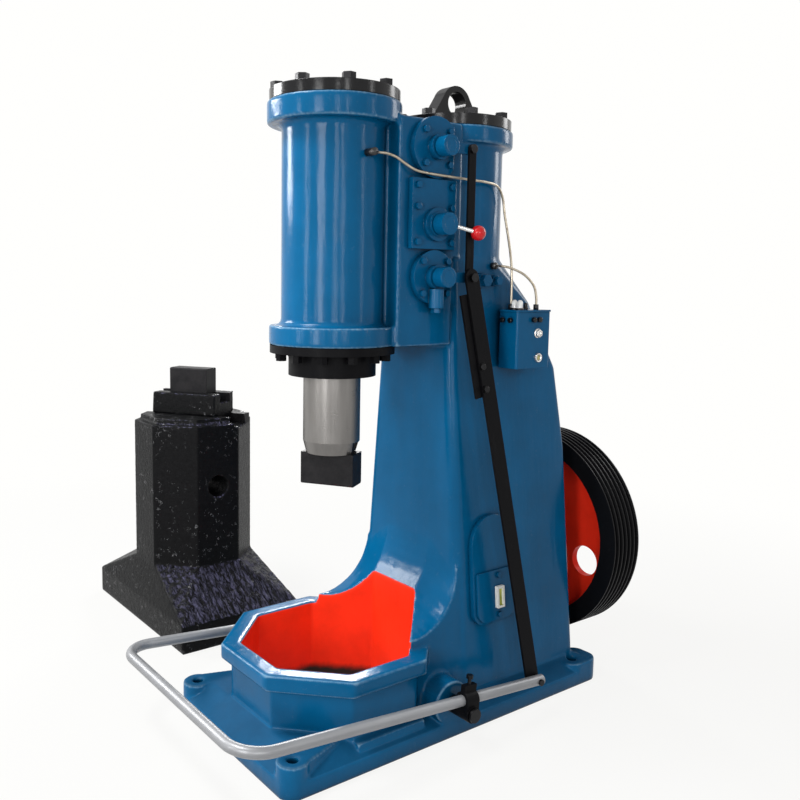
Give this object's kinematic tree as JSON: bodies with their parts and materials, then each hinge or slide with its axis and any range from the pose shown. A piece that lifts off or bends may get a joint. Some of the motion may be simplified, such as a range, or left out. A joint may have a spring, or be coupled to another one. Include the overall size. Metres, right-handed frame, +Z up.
{
  "type": "power hammer",
  "caption": "Pneumatic power hammer in two pieces: cast frame with twin cylinders, ram, foot treadle and belt pulley, and its separate octagonal anvil with die.",
  "frame": {"origin": "on the floor under the ram axis, which is the middle of the anvil opening", "axes": "+Z up along the ram, +Y from ram to pulley, +X towards the valve side"},
  "size_m": [2.47, 2.131, 2.597],
  "materials": {
    "blue_paint": "gloss",
    "black_paint": "gloss",
    "red_paint": "gloss",
    "silver_paint": "satin",
    "bright_steel": "brushed",
    "dark_steel": "oiled",
    "die_steel": "ground",
    "grey_iron": "machined",
    "black_iron": "rough cast, painted",
    "bronze": "machined",
    "copper": "dull",
    "rubber": "matte",
    "red_plastic": "gloss",
    "gauge_plastic": "gloss"
  },
  "bodies": {
    "frame": {"frame": "blue_paint", "cylinder_block": "blue_paint", "ram_cover": "black_paint", "ram_cover_bolts": "dark_steel", "compressor_cover": "black_paint", "compressor_cover_bolts": "dark_steel", "lifting_eye": "black_paint", "gland": "black_paint", "gland_bolts": "dark_steel", "guide_bush": "bronze", "wiper_ring": "rubber", "front_bearing": "bronze", "main_bearing": "bronze", "bearing_cover": "blue_paint", "bearing_cover_bolts": "dark_steel", "upper_valve_cover": "blue_paint", "middle_valve_cover": "blue_paint", "lower_valve_cover": "blue_paint", "valve_cover_bolts": "blue_paint", "pivot_pins": "dark_steel", "crankcase_cover": "blue_paint", "sump_cover": "blue_paint", "case_cover_bolts": "blue_paint", "oil_gauge": "gauge_plastic", "lubricator_tank": "blue_paint", "lubricator_lid": "blue_paint", "lubricator_fittings": "dark_steel", "oil_pipes": "copper", "air_plugs": "blue_paint", "anvil_block": "black_iron", "die_holder": "black_iron", "anvil_keys": "die_steel", "lower_die": "die_steel"},
    "ram": {"ram": "bright_steel", "ram_piston_rings": "grey_iron", "upper_die": "die_steel", "upper_die_key": "die_steel"},
    "piston": {"compressor_piston": "grey_iron", "compressor_rings": "grey_iron"},
    "crank": {"crankshaft": "bright_steel", "drive_pulley": "red_paint", "pulley_key": "bright_steel", "pulley_end_plate": "dark_steel"},
    "treadle": {"treadle_tube": "silver_paint", "treadle_brackets": "black_paint", "clamp_screws": "dark_steel", "tail_bolt": "dark_steel"},
    "lower_valve": {"lower_valve_rotor": "bright_steel", "lower_crank_arm": "blue_paint", "lower_link_pin": "dark_steel"},
    "upper_valve": {"upper_valve_rotor": "bright_steel", "upper_crank_arm": "blue_paint", "upper_link_pin": "dark_steel"},
    "link": {"link_rod": "black_paint"},
    "strap": {"strap": "black_paint", "strap_splice": "black_paint", "strap_bolts": "dark_steel"},
    "lever": {"middle_valve_rotor": "bright_steel", "hand_lever": "bright_steel", "lever_ball": "red_plastic"}
  },
  "joints": [
    {"name": "ram_slide", "type": "slide", "parent": "frame", "child": "ram", "axis": [0, 0, 1], "range_m": [0, 0.29]},
    {"name": "piston_slide", "type": "slide", "parent": "frame", "child": "piston", "axis": [0, 0, 1], "range_m": [0, 0.28]},
    {"name": "crank_turn", "type": "hinge", "parent": "frame", "child": "crank", "pos_m": [0, 1, 0.6], "axis": [0, 1, 0], "continuous": true},
    {"name": "treadle_tilt", "type": "hinge", "parent": "frame", "child": "treadle", "pos_m": [0, 0.295, 0.146], "axis": [1, 0, 0], "range_deg": [0, 8], "stiffness_Nm_per_rad": 200, "springref_deg": -34.38},
    {"name": "lower_valve_turn", "type": "hinge", "parent": "frame", "child": "lower_valve", "pos_m": [0.25, 0.3, 1.79951], "axis": [1, 0, 0], "range_deg": [0, 25]},
    {"name": "upper_valve_turn", "type": "hinge", "parent": "frame", "child": "upper_valve", "pos_m": [0.25, 0.3, 2.29026], "axis": [1, 0, 0], "range_deg": [0, 25]},
    {"name": "link_swing", "type": "hinge", "parent": "lower_valve", "child": "link", "pos_m": [0.309, 0.43, 1.79951], "axis": [1, 0, 0], "range_deg": [-25, 0]},
    {"name": "strap_swing", "type": "hinge", "parent": "lower_valve", "child": "strap", "pos_m": [0.323, 0.43, 1.79951], "axis": [1, 0, 0], "range_deg": [-25, 0]},
    {"name": "lever_turn", "type": "hinge", "parent": "frame", "child": "lever", "pos_m": [0.25, 0.3, 2.00051], "axis": [1, 0, 0], "range_deg": [-30, 30]}
  ],
  "couplings": [
    {"joint": "lower_valve_turn", "follows": "treadle_tilt", "ratio": 3.1},
    {"joint": "upper_valve_turn", "follows": "treadle_tilt", "ratio": 3.1},
    {"joint": "link_swing", "follows": "treadle_tilt", "ratio": -3.1},
    {"joint": "strap_swing", "follows": "treadle_tilt", "ratio": -3.0725}
  ]
}
